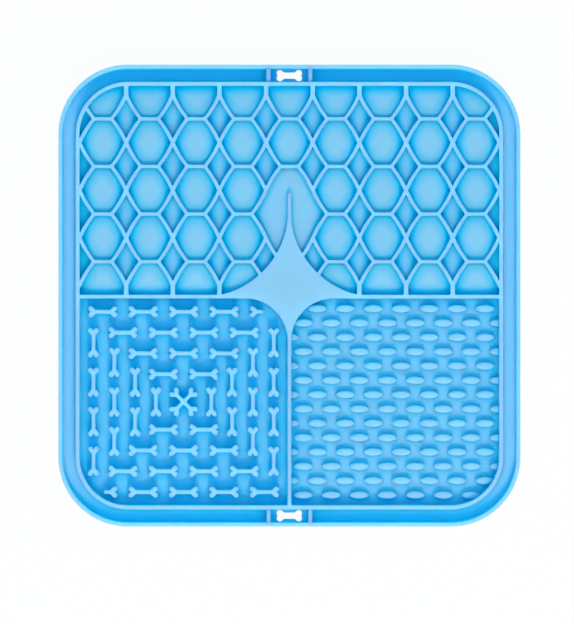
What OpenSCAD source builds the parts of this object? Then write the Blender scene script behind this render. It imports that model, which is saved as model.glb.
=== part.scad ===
// Square silicone lick mat, moulded in one pour and drawn here as the regions of that moulding.
// Millimetres, +Z up, +Y towards the honeycomb. The origin is the centre of the plane that the
// suction cups' lips rest on. Neighbouring regions share a face and never overlap.

/* [Mat outline] */
// Side length of the square mat
mat_side = 200; // [184:1:230]
// Outer radius of the mat's corners
corner_r = 27.3; // [22:0.1:34]
// Thickness of the outer rim
rim_t = 1.6; // [1.2:0.1:2.4]
// Width of the gutter between the rim and the inner wall
gutter_w = 5.85; // [5.4:0.05:8]
// Thickness of the inner wall
inner_wall_t = 1.65; // [1.2:0.05:2.4]

/* [Heights] */
// Height of the suction cups under the base sheet
cup_h = 3; // [2.4:0.1:5]
// Thickness of the base sheet and of the gutter floor
base_t = 2; // [1.2:0.1:3]
// Height of the inner wall, the dividers, the cell ribs and the bones above the base sheet
wall_h = 5; // [4.2:0.1:8]
// How far the rim and the gutter ribs stay below the inner wall
rim_drop = 0.8; // [0:0.1:1.5]

/* [Gutter ribs and hanging holes] */
// Thickness of each gutter rib
gutter_rib_t = 1.7; // [1.2:0.1:2.6]
// Clear length between the two gutter ribs beside a hanging hole
tab_l = 16.4; // [13:0.1:22]
// Length of each bone-shaped hanging hole
hole_l = 11; // [9:0.1:12]
// Width of a hanging hole across its lobes
hole_w = 5; // [4.4:0.1:5.2]
// Width of a hanging hole at its waist
hole_waist = 2.7; // [2:0.1:3.4]
// Radius of a hanging hole's lobes
hole_lobe_r = 1.4; // [1.2:0.05:1.6]
// Depth of the dip between the two lobes of a hanging hole
hole_dip = 0.4; // [0.2:0.05:0.6]

/* [Dividers and star] */
// Thickness of the long divider and of the short divider below it
divider_t = 1.5; // [1.1:0.05:2.4]
// How far the long divider lies below the mat's centre
divider_drop = 0.4; // [0:0.1:3]
// How far the star's side points reach past the posts beside it
star_past_post = 0.4; // [-2:0.1:2]
// Length of the plain spike above the star's flare
spike_l = 9.5; // [4:0.1:14]
// Clear distance from the spike's tip to the level rib above it
spike_gap = 10.3; // [6:0.1:14]
// Radius of the two hollow curves between the star and the dividers
star_hollow_r = 18.4; // [14:0.1:24]

/* [Honeycomb] */
// Thickness of the honeycomb ribs
cell_rib_t = 1.5; // [1.1:0.05:2.2]
// Thickness of the short posts at the honeycomb's top and bottom edges
post_t = 1.9; // [1.3:0.05:2.4]
// Length of those posts, from the wall's face to the fork
post_l = 4.05; // [3:0.05:6]
// Length of the level ribs on their centre line
level_rib_l = 8.7; // [7:0.1:11]
// Height of the six-sided cells' pillows along their middle
pillow_h = 3.2; // [2:0.1:3.8]
// How far a pillow falls at its left and right corners
pillow_fall = 2.5; // [1:0.1:2.8]
// How far a half cell's pillow also falls towards the straight wall
half_pillow_fall = 1.8; // [0.6:0.1:2.4]
// Height of the diamond cells' ridges
ridge_h = 3; // [2:0.1:3.8]
// How far a diamond's ridge falls at its left and right corners
ridge_fall = 2.2; // [1:0.1:2.6]
// Height of the dome in the bell cell above the star
dome_h = 3.2; // [2:0.1:3.8]
// How far that dome falls at its left and right corners
dome_fall = 2.2; // [0.6:0.1:2.6]

/* [Bones] */
// Length of each raised bone
bone_l = 12.6; // [10:0.1:14.5]
// Width of a bone across its lobes
bone_w = 4.8; // [4:0.1:6]
// Width of a bone's shaft
bone_shaft = 1.5; // [1.1:0.05:2.2]
// Radius of a bone's lobes
bone_lobe_r = 1.2; // [0.9:0.05:1.4]
// Depth of the notch between a bone's two lobes
bone_notch = 0.85; // [0.4:0.05:1.1]
// Length of the two crossed bones in the middle
crossed_bone_l = 13.9; // [12:0.1:15]
// Distance from the crossed bones to the first ring of bones
first_ring_gap = 12; // [11:0.1:13]

/* [Lens nubs] */
// Length of each lens-shaped nub
nub_l = 8.4; // [6:0.1:10]
// Width of each nub
nub_w = 3.3; // [2.4:0.1:4.2]
// Height of a nub along its middle
nub_h = 2.8; // [1.6:0.1:4]
// How far a nub's crown falls at its long edges
nub_fall = 0.5; // [0.2:0.05:1]

/* [Suction cups] */
// Distance of the outer cups' centres from the mat's edge
cup_margin = 31; // [22:0.5:38]
// Outer radius of a cup's lip
cup_r = 9; // [6:0.1:12]
// Width of the flat lip that touches the floor
cup_lip_w = 1; // [0.6:0.1:2]
// Height of the lip's outer edge
cup_edge_h = 0.6; // [0.3:0.05:1]
// Radius of the neck that joins a cup to the base sheet
cup_neck_r = 3.5; // [2.5:0.1:5]
// Length of that neck
cup_neck_l = 0.5; // [0.3:0.05:1]
// Thickness of a cup's wall at its middle
cup_wall_t = 0.9; // [0.6:0.05:1.2]

/* [Hidden] */
cell_columns = 9;
cell_rows = 4;
bell_row = 2;
star_columns = 3;
bone_rings = 4;
nub_rows = 14;
nub_columns = 7.5;
cup_rows = 4;
// Width of one field in steps of the bone rings
field_steps = 10;
// Pitch of neighbouring bones in one ring, as shares of two ring steps
bone_pitch_x_share = 0.971;
bone_pitch_y_share = 0.949;
// Distance of the first and the last nub row from the field's edge, as a share of their pitch
nub_edge_share = 0.72;
// Exponent that gives the nub's outline its almond ends
almond_power = 1.5;
// Angles between which a lobe's arc runs, measured from the bone's length
lobe_start = -45;
lobe_end = 135;
arc_steps = 6;
star_steps = 14;
nub_steps = 18;
right_angle = 90;
// Extra height of every cutting or trimming body
overrun = 1;
round_fn = 96;

base_top = cup_h + base_t;
wall_top = base_top + wall_h;
rim_top = wall_top - rim_drop;
channel_inset = rim_t + gutter_w;
field_inset = channel_inset + inner_wall_t;
// Half the clear width inside the inner wall
field_half = mat_side / 2 - field_inset;
divider_up = divider_t / 2 - divider_drop;
divider_down = -divider_t / 2 - divider_drop;

column_pitch = 2 * field_half / cell_columns;
row_pitch = (field_half - divider_up - 2 * post_l) / cell_rows;
centre_column = (cell_columns + 1) / 2;
level_half = level_rib_l / 2;
slant_x = column_pitch / 2 - level_half;
slant_y = row_pitch / 2;
slant_l = norm([slant_x, slant_y]);
// Width of the star's spike and of the short divider below it, from their middle
star_side = divider_t / 2;
// The star spans the columns beside the middle one, and its spike ends inside the bell cell
star_reach_x = star_columns * column_pitch / 2 + star_past_post - star_side;
spike_top = level_y(bell_row + 1) - cell_rib_t / 2 - spike_gap;
star_reach_y = spike_top - spike_l - divider_up;
// Half widths of a slanted rib, measured level and upright, and its overlap with a level rib
rib_dx = cell_rib_t * slant_l / (2 * slant_y);
rib_dy = cell_rib_t * slant_l / (2 * slant_x);
level_cut = cell_rib_t * (slant_l - slant_x) / (2 * slant_y);

lower_w = field_half - star_side;
lower_h = field_half + divider_down;
ring_step = lower_w / field_steps;
bones_x = -(star_side + lower_w / 2);
bones_y = divider_down - lower_h / 2;
bone_pitch_x = 2 * ring_step * bone_pitch_x_share;
bone_pitch_y = 2 * ring_step * bone_pitch_y_share;
nub_pitch_x = field_half / nub_columns;
nub_pitch_y = lower_h / (nub_rows - 1 + 2 * nub_edge_share);
cup_pitch = (mat_side - 2 * cup_margin) / (cup_rows - 1);

// Radius of the arc that falls by the given height at the given distance from its top
function arc_r(reach, fall) = (reach * reach + fall * fall) / (2 * fall);
// Places of the honeycomb's column borders, forks and crossings, and level ribs
function border_x(i) = -field_half + i * column_pitch;
function crossing_y(j) = divider_up + post_l + j * row_pitch;
function column_x(c) = border_x(c) - column_pitch / 2;
function level_y(k) = crossing_y(k) - slant_y;
function is_fork(j) = j == 0 || j == cell_rows;
// A border that runs along the inner wall has no post
function post_half(i) = i == 0 || i == cell_columns ? 0 : post_t / 2;
function fork_dy(i) = rib_dy - post_half(i) * slant_y / slant_x;
// The bell cell leaves out one level rib and the four slanted ribs at its ends
function level_index(j, sy) = sy > 0 ? j + 1 : j;
function column_index(i, sx) = sx > 0 ? i + 1 : i;
function in_bell(i, j, sx, sy) =
    column_index(i, sx) == centre_column && level_index(j, sy) == bell_row;
// Indices of the borders or crossings from which a rib can start in the direction s
function rib_starts(s, count) = s > 0 ? [0:count - 1] : [1:count];
function no_repeats(p) = [for (i = [0:len(p) - 1]) if (norm(p[i] - p[(i + 1) % len(p)]) > 0) p[i]];

// Outline of a slanted rib, from the crossing or fork (i, j) towards the level rib at (sx, sy)
function slant_tip(i, j, sx, sy) =
    is_fork(j)
        ? [[0, -sy * fork_dy(i)], [sx * post_half(i), -sy * fork_dy(i)]]
        : [[0, 0], [sx * rib_dx, 0]];
function slant_tail(i, j, sx, sy) =
    in_bell(i, j, -sx, sy) ? [-sx * rib_dx, 0] : [0, sy * rib_dy];
function slant_points(i, j, sx, sy) =
    let (from = [border_x(i), crossing_y(j)], to = from + [sx * slant_x, sy * slant_y])
    no_repeats(concat(
        [for (p = slant_tip(i, j, sx, sy)) from + p],
        [to + [sx * level_cut, -sy * cell_rib_t / 2], to, to - [sx * rib_dx, 0],
         from + slant_tail(i, j, sx, sy)]));

// Outline of the open floor of a six-sided cell, of a half cell, of a diamond and of the bell
function hexagon_points(c, j) =
    let (half = level_half - level_cut, x = column_x(c), y = crossing_y(j),
         reach = column_pitch / 2 - rib_dx, rise = slant_y - cell_rib_t / 2)
    [[x - reach, y], [x - half, y - rise], [x + half, y - rise],
     [x + reach, y], [x + half, y + rise], [x - half, y + rise]];
function half_cell_points(c, j) =
    let (half = level_half - level_cut, x = column_x(c), y = crossing_y(j), up = j == 0 ? 1 : -1,
         edge_y = j == 0 ? divider_up : field_half, level = y + up * (slant_y - cell_rib_t / 2),
         left = border_x(c - 1) + post_half(c - 1), right = border_x(c) - post_half(c))
    [[x - half, level], [x + half, level], [right, y - up * fork_dy(c)],
     [right, edge_y], [left, edge_y], [left, y - up * fork_dy(c - 1)]];
function diamond_points(i, k) =
    let (x = border_x(i), reach = slant_x - rib_dx, rise = slant_y - rib_dy, y = level_y(k))
    no_repeats([[x, y - rise], [i == cell_columns ? x : x + reach, y],
                [x, y + rise], [i == 0 ? x : x - reach, y]]);
function bell_points() =
    let (half = level_half - level_cut, reach = column_pitch / 2 + slant_x - rib_dx,
         low = level_y(bell_row - 1) + cell_rib_t / 2, high = level_y(bell_row + 1) - cell_rib_t / 2)
    [[-half, low], [half, low], [reach, level_y(bell_row)],
     [half, high], [-half, high], [-reach, level_y(bell_row)]];

// One end of a bone: from its shaft round both lobes, with a notch between them
function lobe(l, w, r) =
    [for (i = [0:arc_steps]) let (a = lobe_start + (lobe_end - lobe_start) * i / arc_steps)
        [l / 2 - r + r * cos(a), w / 2 - r + r * sin(a)]];
function flare_x(l, w, shaft, r) =
    lobe(l, w, r)[arc_steps][0] - (lobe(l, w, r)[arc_steps][1] - shaft / 2);
function half_end(l, w, shaft, r) = concat(lobe(l, w, r), [[flare_x(l, w, shaft, r), shaft / 2]]);
function bone_end(l, w, shaft, r, notch) =
    let (side = half_end(l, w, shaft, r))
    concat([for (i = [len(side) - 1:-1:0]) [side[i][0], -side[i][1]]], [[l / 2 - notch, 0]], side);
function turned(points) = [for (p = points) -p];
function bone_points(l, w, shaft, r, notch) =
    concat(bone_end(l, w, shaft, r, notch), turned(bone_end(l, w, shaft, r, notch)));

// Almond outline: an ellipse whose narrow direction thins out towards the ends
function nub_points() =
    [for (i = [0:nub_steps - 1]) let (a = 2 * right_angle * 2 * i / nub_steps)
        [nub_l / 2 * cos(a), nub_w / 2 * sign(sin(a)) * pow(abs(sin(a)), almond_power)]];

// Upper edge of the star's right half: a cubed sine and cosine curve from the spike to the side point
function star_flare() =
    [for (i = [0:star_steps]) let (a = right_angle * (1 - i / star_steps))
        [star_side + star_reach_x * pow(cos(a), 3), divider_up + star_reach_y * pow(sin(a), 3)]];
function star_hollow() =
    [for (i = [0:star_steps]) let (a = right_angle * (1 + i / star_steps))
        [star_side + star_hollow_r * (1 + cos(a)), divider_down - star_hollow_r * (1 - sin(a))]];
function star_right() =
    no_repeats(concat([[star_side, spike_top - star_side]], star_flare(),
        [[star_side + star_reach_x, divider_down]], star_hollow()));
function star_points() =
    let (right = star_right())
    concat([[0, spike_top]], right, [for (i = [len(right) - 1:-1:0]) [-right[i][0], right[i][1]]]);

module rounded_square(side, r) {
    square([side - 2 * r, side], center = true);
    square([side, side - 2 * r], center = true);
    for (x = [-1, 1], y = [-1, 1])
        translate([x * (side / 2 - r), y * (side / 2 - r)]) circle(r, $fn = round_fn);
}

module mat_outline(inset) {
    rounded_square(mat_side - 2 * inset, corner_r - inset);
}

module ring(outer_inset, inner_inset) {
    difference() {
        mat_outline(outer_inset);
        mat_outline(inner_inset);
    }
}

// A body from one height to another over a flat outline
module prism(low, high) {
    translate([0, 0, low]) linear_extrude(high - low) children();
}

// Everything inside the inner wall on one side of a line, used to trim patterns at the walls
module field_trim(low_corner, size) {
    prism(base_top - overrun, wall_top + overrun)
        intersection() {
            mat_outline(field_inset);
            translate(low_corner) square(size);
        }
}

module star_cut() {
    prism(base_top - 2 * overrun, wall_top + 2 * overrun) polygon(star_points());
}

module trimmed_to_upper_field() {
    difference() {
        intersection() {
            union() children();
            field_trim([-field_half, divider_up], [2 * field_half, field_half - divider_up]);
        }
        star_cut();
    }
}

module trimmed_to_right_field() {
    difference() {
        intersection() {
            union() children();
            field_trim([star_side, -field_half], [lower_w, lower_h]);
        }
        star_cut();
    }
}

module base_sheet() {
    color("deepskyblue") prism(cup_h, base_top) mat_outline(channel_inset);
}

module gutter_floor(side) {
    near = tab_l / 2 + gutter_rib_t;
    color("deepskyblue")
        prism(cup_h, base_top)
            intersection() {
                ring(rim_t, channel_inset);
                translate([side * (near + mat_side / 2), 0]) square([mat_side, 2 * mat_side], center = true);
            }
}

module outer_rim() {
    color("lightskyblue") prism(cup_h, rim_top) ring(0, rim_t);
}

module inner_wall() {
    color("lightskyblue") prism(base_top, wall_top) ring(channel_inset, field_inset);
}

module gutter_ribs() {
    color("lightskyblue")
        for (x = [-1, 1], y = [-1, 1])
            translate([x * (tab_l + gutter_rib_t) / 2, y * (mat_side / 2 - rim_t - gutter_w / 2)])
                prism(cup_h, rim_top) square([gutter_rib_t, gutter_w], center = true);
}

module hanging_tab(side) {
    color("deepskyblue")
        translate([0, side * (mat_side / 2 - rim_t - gutter_w / 2)])
            difference() {
                prism(cup_h, base_top) square([tab_l, gutter_w], center = true);
                prism(cup_h - overrun, base_top + overrun)
                    polygon(bone_points(hole_l, hole_w, hole_waist, hole_lobe_r, hole_dip));
            }
}

module side_divider(side) {
    reach = field_half - star_side - star_reach_x;
    color("lightskyblue")
        translate([side * (field_half - reach / 2), -divider_drop])
            prism(base_top, wall_top) square([reach, divider_t], center = true);
}

module divider_lower() {
    color("lightskyblue")
        prism(base_top, wall_top)
            translate([-star_side, -field_half]) square([divider_t, lower_h - star_hollow_r]);
}

module star_pad() {
    color("lightskyblue") prism(base_top, wall_top) polygon(star_points());
}

module cell_ribs_level() {
    color("lightskyblue")
        trimmed_to_upper_field()
            prism(base_top, wall_top)
                for (c = [1:cell_columns], k = [1:cell_rows])
                    if (!(c == centre_column && k == bell_row))
                        translate([column_x(c), level_y(k)])
                            polygon([for (side = [1, -1]) each [
                                [side * level_half, 0],
                                [side * (level_half - level_cut), side * cell_rib_t / 2],
                                [-side * (level_half - level_cut), side * cell_rib_t / 2]]]);
}

module cell_ribs_posts() {
    color("lightskyblue")
        trimmed_to_upper_field()
            prism(base_top, wall_top)
                for (i = [1:cell_columns - 1]) {
                    low = crossing_y(0) - fork_dy(i);
                    high = crossing_y(cell_rows) + fork_dy(i);
                    translate([border_x(i) - post_t / 2, divider_up]) square([post_t, low - divider_up]);
                    translate([border_x(i) - post_t / 2, high]) square([post_t, field_half - high]);
                }
}

module cell_ribs_slanted(sx, sy) {
    color("lightskyblue")
        trimmed_to_upper_field()
            prism(base_top, wall_top)
                for (i = rib_starts(sx, cell_columns), j = rib_starts(sy, cell_rows))
                    if (!in_bell(i, j, sx, sy)) polygon(slant_points(i, j, sx, sy));
}

// A barrel lying along Y, whose top line is at the given height above the base sheet
module barrel(x, height, r) {
    translate([x, divider_up - overrun, base_top + height - r])
        rotate([-right_angle, 0, 0]) cylinder(h = field_half + 2 * overrun, r = r, $fn = round_fn);
}

module hexagon_pillows(row) {
    j = row - 1;
    pillow_r = arc_r(column_pitch / 2 - rib_dx, pillow_fall);
    // A half cell's pillow is highest at its level rib and falls towards the straight wall
    half_depth = post_l + slant_y;
    half_r = arc_r(half_depth, half_pillow_fall);
    color("skyblue")
        trimmed_to_upper_field()
            intersection() {
                prism(base_top, wall_top)
                    for (c = [1:cell_columns])
                        if (!(c == centre_column && (j == bell_row - 1 || j == bell_row)))
                            polygon(is_fork(j) ? half_cell_points(c, j) : hexagon_points(c, j));
                union() for (c = [1:cell_columns]) barrel(column_x(c), pillow_h, pillow_r);
                if (is_fork(j))
                    translate([-field_half - overrun, j == 0 ? level_y(1) : level_y(cell_rows),
                               base_top + pillow_h - half_r])
                        rotate([0, right_angle, 0])
                            cylinder(h = 2 * (field_half + overrun), r = half_r, $fn = round_fn);
            }
}

module diamond_ridges(row) {
    ridge_r = arc_r(slant_x - rib_dx, ridge_fall);
    color("skyblue")
        trimmed_to_upper_field()
            intersection() {
                prism(base_top, wall_top)
                    for (i = [0:cell_columns])
                        if (!(row == bell_row && abs(2 * i - cell_columns) == 1))
                            polygon(diamond_points(i, row));
                union() for (i = [0:cell_columns]) barrel(border_x(i), ridge_h, ridge_r);
            }
}

module bell_dome() {
    reach = column_pitch / 2 + slant_x;
    dome_r = arc_r(reach, dome_fall);
    color("skyblue")
        trimmed_to_upper_field()
            intersection() {
                prism(base_top, wall_top) polygon(bell_points());
                barrel(0, dome_h, dome_r);
            }
}

module bone(l = bone_l) {
    polygon(bone_points(l, bone_w, bone_shaft, bone_lobe_r, bone_notch));
}

// Right half of a bone, with its shaft ending in a point
module half_bone() {
    polygon(concat(bone_end(bone_l, bone_w, bone_shaft, bone_lobe_r, bone_notch), [[-bone_shaft, 0]]));
}

module crossed_bones() {
    color("lightskyblue")
        translate([bones_x, bones_y])
            prism(base_top, wall_top)
                for (a = [-1, 1]) rotate(a * right_angle / 2) bone(crossed_bone_l);
}

// Ring n has n + 1 level bones above and below its centre and n upright bones on each side
module bone_ring(n) {
    reach = first_ring_gap + (n - 1) * ring_step;
    color("lightskyblue")
        translate([bones_x, bones_y])
            prism(base_top, wall_top) {
                for (side = [-1, 1], i = [0:n]) {
                    cut_short = n == bone_rings && i == n;
                    translate([side * (i - n / 2) * bone_pitch_x, side * reach])
                        if (cut_short) rotate(side > 0 ? 2 * right_angle : 0) half_bone();
                        else bone();
                }
                for (side = [-1, 1], i = [0:n - 1])
                    translate([side * reach, (i - (n - 1) / 2) * bone_pitch_y])
                        rotate(right_angle) bone();
            }
}

// Rows alternate between nubs that start on the short divider and nubs half a pitch beside it
module lens_nubs(row) {
    crown_r = arc_r(nub_w / 2, nub_fall);
    shift = row % 2 == 1 ? 0 : 1 / 2;
    y = divider_down - nub_pitch_y * (row - 1 + nub_edge_share);
    color("lightskyblue")
        trimmed_to_right_field()
            intersection() {
                prism(base_top, wall_top)
                    for (i = [0:floor(nub_columns)])
                        translate([(i + shift) * nub_pitch_x, y]) polygon(nub_points());
                translate([-nub_l, y, base_top + nub_h - crown_r])
                    rotate([0, right_angle, 0])
                        cylinder(h = field_half + 2 * nub_l, r = crown_r, $fn = round_fn);
            }
}

module suction_cup() {
    bell_top = cup_h - cup_neck_l;
    color("deepskyblue")
        rotate_extrude($fn = round_fn)
            polygon([[cup_r - cup_lip_w, 0], [cup_r, 0], [cup_r, cup_edge_h],
                     [cup_neck_r, bell_top], [cup_neck_r, cup_h], [0, cup_h],
                     [0, bell_top - cup_wall_t], [cup_neck_r, bell_top - cup_wall_t]]);
}

module suction_cups(row) {
    for (i = [1:cup_rows])
        translate([(i - (cup_rows + 1) / 2) * cup_pitch, (row - (cup_rows + 1) / 2) * cup_pitch])
            suction_cup();
}

base_sheet();
gutter_floor(-1);  // gutter_floor_left
gutter_floor(1);  // gutter_floor_right
outer_rim();
inner_wall();
gutter_ribs();
hanging_tab(1);  // hanging_tab_top
hanging_tab(-1);  // hanging_tab_bottom
side_divider(-1);  // divider_left
side_divider(1);  // divider_right
divider_lower();
star_pad();
cell_ribs_level();
cell_ribs_posts();
cell_ribs_slanted(1, 1);  // cell_ribs_rising_right
cell_ribs_slanted(-1, 1);  // cell_ribs_rising_left
cell_ribs_slanted(1, -1);  // cell_ribs_falling_right
cell_ribs_slanted(-1, -1);  // cell_ribs_falling_left
bell_dome();
for (row = [1:cell_rows + 1])
    hexagon_pillows(row);
for (row = [1:cell_rows])
    diamond_ridges(row);
crossed_bones();
for (ring = [1:bone_rings])
    bone_ring(ring);
for (row = [1:nub_rows])
    lens_nubs(row);
for (row = [1:cup_rows])
    suction_cups(row);
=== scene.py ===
"""Looks of a square blue silicone lick mat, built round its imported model.

Sizes are in millimetres and become metres where a mesh is made. +Z is up and +Y points to the
honeycomb. An outline is a closed row of points that runs anticlockwise, with the solid on its
left, so that a positive offset, to its right, leads into the open air.
"""

import logging
from dataclasses import dataclass, field, replace
from enum import Enum

import bpy
import numpy as np
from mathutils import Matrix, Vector, geometry


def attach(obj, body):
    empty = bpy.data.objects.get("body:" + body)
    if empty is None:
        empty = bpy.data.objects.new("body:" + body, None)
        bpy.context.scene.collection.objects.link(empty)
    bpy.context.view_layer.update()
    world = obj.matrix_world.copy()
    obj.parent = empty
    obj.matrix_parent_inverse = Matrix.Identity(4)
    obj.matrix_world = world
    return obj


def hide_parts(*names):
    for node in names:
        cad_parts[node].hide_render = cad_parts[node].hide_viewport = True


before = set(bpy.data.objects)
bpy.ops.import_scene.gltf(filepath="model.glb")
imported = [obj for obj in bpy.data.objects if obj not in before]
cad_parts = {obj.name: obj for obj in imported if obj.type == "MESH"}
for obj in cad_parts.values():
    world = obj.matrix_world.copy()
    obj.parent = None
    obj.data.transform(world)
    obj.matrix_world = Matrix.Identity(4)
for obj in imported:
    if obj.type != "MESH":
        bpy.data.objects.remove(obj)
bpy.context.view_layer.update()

MM = 0.001
BODY = "root"
# Name of each point's share of painted shade; below nought it paints light
SHADE_ATTRIBUTE = "painted_shade_share"
IMAGE_WIDTH, IMAGE_HEIGHT = 574, 624
# A raised shape has a flat strip beside its rounded top edge. A little past its hollow foot, at
# the toe, it dips under the floor, so that no edge shows there, and then it goes on to the sink.
STRIP = 0.05
TOE = 0.08
DIP = 0.02
SINK = 0.3
# Steps of a quarter circle, on a small edge and on a corner of the mat
EDGE_STEPS = 4
CORNER_STEPS = 22
# Rounding takes the corners that turn by more than so many degrees, and at most this share of
# the shorter edge beside them. Points closer than the gap are merged first.
SHARP_TURN = 14
CORNER_ROOM = 0.45
LEAST_GAP = 0.05
# Keeps a step to the side finite where an outline turns back on itself
LEAST_MITRE = 0.4
LOG = logging.getLogger("lick_mat")


class Side(Enum):
    """The two halves of the mat, as the sign of x."""

    LEFT = -1
    RIGHT = 1


class Floor(Enum):
    """The kinds of crowned floor in the honeycomb."""

    HEXAGON = "hexagon"
    HALF_CELL = "half cell"
    DIAMOND = "diamond"
    HALF_DIAMOND = "half diamond"
    BELL = "bell"


# Per kind of floor: the piece that it is in and the node that this piece stands for
FLOOR_NAMES = {
    Floor.HEXAGON: ("pillow_floors_row_{}", "hexagon_pillows_row_{}"),
    Floor.HALF_CELL: ("pillow_floors_row_{}", "hexagon_pillows_row_{}"),
    Floor.DIAMOND: ("ridge_floors_row_{}", "diamond_ridges_row_{}"),
    Floor.HALF_DIAMOND: ("ridge_floors_row_{}", "diamond_ridges_row_{}"),
    Floor.BELL: ("bell_floor", "bell_dome"),
}


def arc(centre: tuple[float, float], radius: float, start: float, end: float,
        steps: int) -> np.ndarray:
    """Points on a circle between two angles in degrees, both ends included."""
    angles = np.radians(np.linspace(start, end, steps + 1))
    return np.array(centre) + radius * np.stack([np.cos(angles), np.sin(angles)], 1)


@dataclass(frozen=True)
class MatSizes:
    """The mat's sizes as the photograph gives them.

    The corner radius and the level ribs were measured more closely here than for the solids.
    """

    side: float = 200.0
    corner_r: float = 30.1
    rim_t: float = 1.6
    gutter_w: float = 5.85
    inner_wall_t: float = 1.65
    cup_h: float = 3.0
    base_t: float = 2.0
    wall_h: float = 5.0
    rim_drop: float = 0.8
    divider_t: float = 1.5
    divider_drop: float = 0.4
    star_past_post: float = 0.4
    spike_l: float = 9.5
    spike_gap: float = 10.3
    star_hollow_r: float = 18.4
    rib_t: float = 1.5
    post_t: float = 1.9
    post_l: float = 4.05
    level_rib_l: float = 7.6
    columns: int = 9
    rows: int = 4
    bell_row: int = 2
    star_columns: int = 3

    @property
    def base_top(self) -> float:
        """Height of the flat floor of the fields and of the gutter."""
        return self.cup_h + self.base_t

    @property
    def wall_top(self) -> float:
        """Height of the inner wall, the ribs and the bones."""
        return self.base_top + self.wall_h

    @property
    def rim_top(self) -> float:
        """Height of the outer rim and of the gutter ribs."""
        return self.wall_top - self.rim_drop

    @property
    def half(self) -> float:
        """Half the mat's side."""
        return self.side / 2

    @property
    def corner_middle(self) -> float:
        """The x and y of the point that all round corners are drawn about."""
        return self.half - self.corner_r

    @property
    def channel_inset(self) -> float:
        """Distance from the mat's edge to the inner wall."""
        return self.rim_t + self.gutter_w

    @property
    def field_half(self) -> float:
        """Half the clear width inside the inner wall."""
        return self.half - self.channel_inset - self.inner_wall_t

    @property
    def field_corner(self) -> float:
        """Radius of the fields' round corners."""
        return self.field_half - self.corner_middle

    @property
    def divider_up(self) -> float:
        """Upper face of the long divider, as a y."""
        return self.divider_t / 2 - self.divider_drop

    @property
    def divider_down(self) -> float:
        """Lower face of the long divider, as a y."""
        return -self.divider_t / 2 - self.divider_drop

    @property
    def column_pitch(self) -> float:
        """Distance between two columns of the honeycomb."""
        return 2 * self.field_half / self.columns

    @property
    def row_pitch(self) -> float:
        """Distance between two rows of crossings."""
        return (self.field_half - self.divider_up - 2 * self.post_l) / self.rows

    @property
    def slant(self) -> np.ndarray:
        """Reach of a slanted rib in x and in y."""
        return np.array([self.column_pitch / 2 - self.level_rib_l / 2, self.row_pitch / 2])

    @property
    def rib_half(self) -> np.ndarray:
        """Half width of a slanted rib, measured level and measured upright."""
        return self.rib_t * np.linalg.norm(self.slant) / (2 * self.slant[::-1])

    @property
    def level_half(self) -> float:
        """Half the length of a level rib's long face."""
        cut = self.rib_t * (np.linalg.norm(self.slant) - self.slant[0]) / (2 * self.slant[1])
        return self.level_rib_l / 2 - cut

    @property
    def star_side(self) -> float:
        """Half width of the star's spike."""
        return self.divider_t / 2

    @property
    def spike_top(self) -> float:
        """The y of the spike's tip."""
        return self.level_y(self.bell_row + 1) - self.rib_t / 2 - self.spike_gap

    @property
    def star_reach(self) -> np.ndarray:
        """Reach of the star's flare in x and in y."""
        across = self.star_columns * self.column_pitch / 2 + self.star_past_post - self.star_side
        return np.array([across, self.spike_top - self.spike_l - self.divider_up])

    def outline(self, inset: float = 0.0, steps: int = CORNER_STEPS) -> np.ndarray:
        """The mat's outline, drawn in by an inset."""
        middle = self.corner_middle
        signs = [(1, 1), (-1, 1), (-1, -1), (1, -1)]
        return np.concatenate([
            arc((x * middle, y * middle), self.corner_r - inset, 90 * k, 90 * (k + 1), steps)
            for k, (x, y) in enumerate(signs)
        ])

    def border_x(self, i: int) -> float:
        """The x of a border between two columns."""
        return -self.field_half + i * self.column_pitch

    def column_x(self, c: int) -> float:
        """The x of a column's middle."""
        return self.border_x(c) - self.column_pitch / 2

    def crossing_y(self, j: int) -> float:
        """The y of a row of crossings; the first and the last row are forks with posts."""
        return self.divider_up + self.post_l + j * self.row_pitch

    def level_y(self, k: int) -> float:
        """The y of a row of level ribs."""
        return self.crossing_y(k) - self.slant[1]

    def post_half(self, i: int) -> float:
        """Half width of the post on a border; the outer borders have none."""
        return 0.0 if i in (0, self.columns) else self.post_t / 2

    def fork_dy(self, i: int) -> float:
        """How far below its crossing a fork's post begins."""
        return self.rib_half[1] - self.post_half(i) * self.slant[1] / self.slant[0]


@dataclass
class Shell:
    """Points and faces of one piece: quads and fans are smooth, caps are flat.

    The painted shade says, point by point, how much more of the shade colour shows; below nought,
    less, which paints light.
    """

    points: np.ndarray
    quads: np.ndarray = field(default_factory=lambda: np.empty((0, 4), int))
    fans: np.ndarray = field(default_factory=lambda: np.empty((0, 3), int))
    caps: np.ndarray = field(default_factory=lambda: np.empty((0, 3), int))
    painted_shade: np.ndarray | None = None

    def painted_shades(self) -> np.ndarray:
        """The painted shade share of every point, nought where none was set."""
        return np.zeros(len(self.points)) if self.painted_shade is None else self.painted_shade

    def moved(self, x: float, y: float) -> "Shell":
        """The same shell, moved in the plane."""
        return replace(self, points=self.points + np.array([x, y, 0.0]))


def joined(shells: list[Shell]) -> Shell:
    """Joins shells into one, with each shell's point numbers moved past the points before it.

    Args:
        shells: the shells, in order.

    Returns:
        One shell with all points and faces.
    """
    starts = np.cumsum([0] + [len(shell.points) for shell in shells])
    parts = list(zip(shells, starts))
    return Shell(
        np.concatenate([shell.points for shell in shells]),
        np.concatenate([shell.quads + start for shell, start in parts]),
        np.concatenate([shell.fans + start for shell, start in parts]),
        np.concatenate([shell.caps + start for shell, start in parts]),
        np.concatenate([shell.painted_shades() for shell in shells]),
    )


def right_of(steps: np.ndarray) -> np.ndarray:
    """The unit vector to the right of each step."""
    along = steps / np.linalg.norm(steps, axis=1, keepdims=True)
    return np.stack([along[:, 1], -along[:, 0]], 1)


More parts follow.
